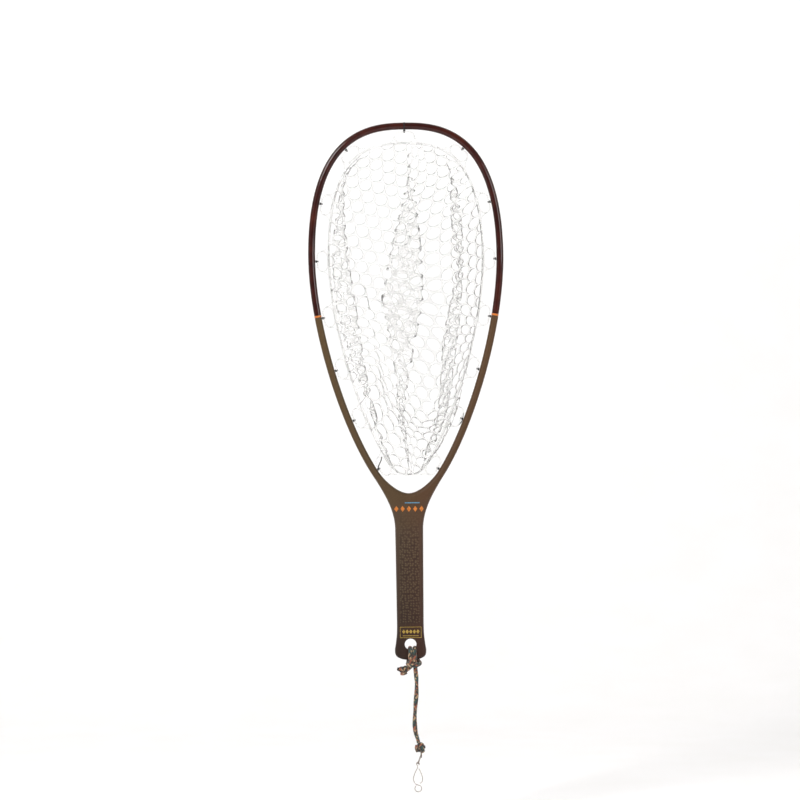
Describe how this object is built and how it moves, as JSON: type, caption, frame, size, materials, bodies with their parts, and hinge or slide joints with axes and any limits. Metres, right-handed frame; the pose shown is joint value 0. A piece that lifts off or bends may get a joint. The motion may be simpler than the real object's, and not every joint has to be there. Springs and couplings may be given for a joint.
{
  "type": "landing net",
  "caption": "Hand landing net: a hollow hooped bow on a forked moulded handle, a clear rubber mesh bag laced inside it, and a short cord lanyard with a split ring and wire clip.",
  "frame": {"origin": "the middle of the grip, where a hand holds the net", "axes": "+Z along the handle towards the hoop's crown, +X across the hoop to the right as seen from the mouth, +Y out of the back of the hoop, where the bag hangs"},
  "size_m": [0.2664, 0.099, 0.9056],
  "materials": {
    "bow_lacquer": "gloss lacquer over a fibre composite tube",
    "handle_composite": "satin moulded composite with a pebbled grip panel",
    "collar_orange": "satin orange band",
    "spigot_fibre": "bare fibre plug, hidden in the joint",
    "tie_thread": "black waxed thread",
    "bag_rubber": "clear moulded rubber",
    "lanyard_cord": "braided cord in dark brown, green, tan and orange yarns",
    "clip_steel": "bright drawn spring wire"
  },
  "bodies": {
    "frame": {"hoop_bow": "bow_lacquer", "handle_yoke": "handle_composite", "collar_left": "collar_orange", "collar_right": "collar_orange", "spigot_left": "spigot_fibre", "spigot_right": "spigot_fibre", "net_bag": "bag_rubber", "lanyard_hitch": "lanyard_cord", "lanyard_tail_knot": "lanyard_cord", "lanyard_cord": "lanyard_cord", "lanyard_end_knot": "lanyard_cord", "tie_top": "tie_thread", "tie_left_1": "tie_thread", "tie_left_2": "tie_thread", "tie_left_3": "tie_thread", "tie_left_4": "tie_thread", "tie_left_5": "tie_thread", "tie_left_6": "tie_thread", "tie_left_7": "tie_thread", "tie_right_1": "tie_thread", "tie_right_2": "tie_thread", "tie_right_3": "tie_thread", "tie_right_4": "tie_thread", "tie_right_5": "tie_thread", "tie_right_6": "tie_thread", "tie_right_7": "tie_thread"},
    "split_ring": {"split_ring": "clip_steel"},
    "clip": {"clip_body": "clip_steel"},
    "gate": {"clip_gate": "clip_steel"}
  },
  "joints": [
    {"name": "split_ring_swing", "type": "hinge", "parent": "frame", "child": "split_ring", "pos_m": [0.0126, 0, -0.2296], "axis": [1, 0, 0], "range_deg": [-40, 40]},
    {"name": "clip_swing", "type": "hinge", "parent": "split_ring", "child": "clip", "pos_m": [0.00781, 0, -0.24158], "axis": [0, 1, 0], "range_deg": [-90, 90]},
    {"name": "clip_gate_spring", "type": "hinge", "parent": "clip", "child": "gate", "pos_m": [0.00941, 0, -0.24818], "axis": [0, 1, 0], "range_deg": [0, 14], "stiffness_Nm_per_rad": 0.01, "springref_deg": -5.73}
  ]
}
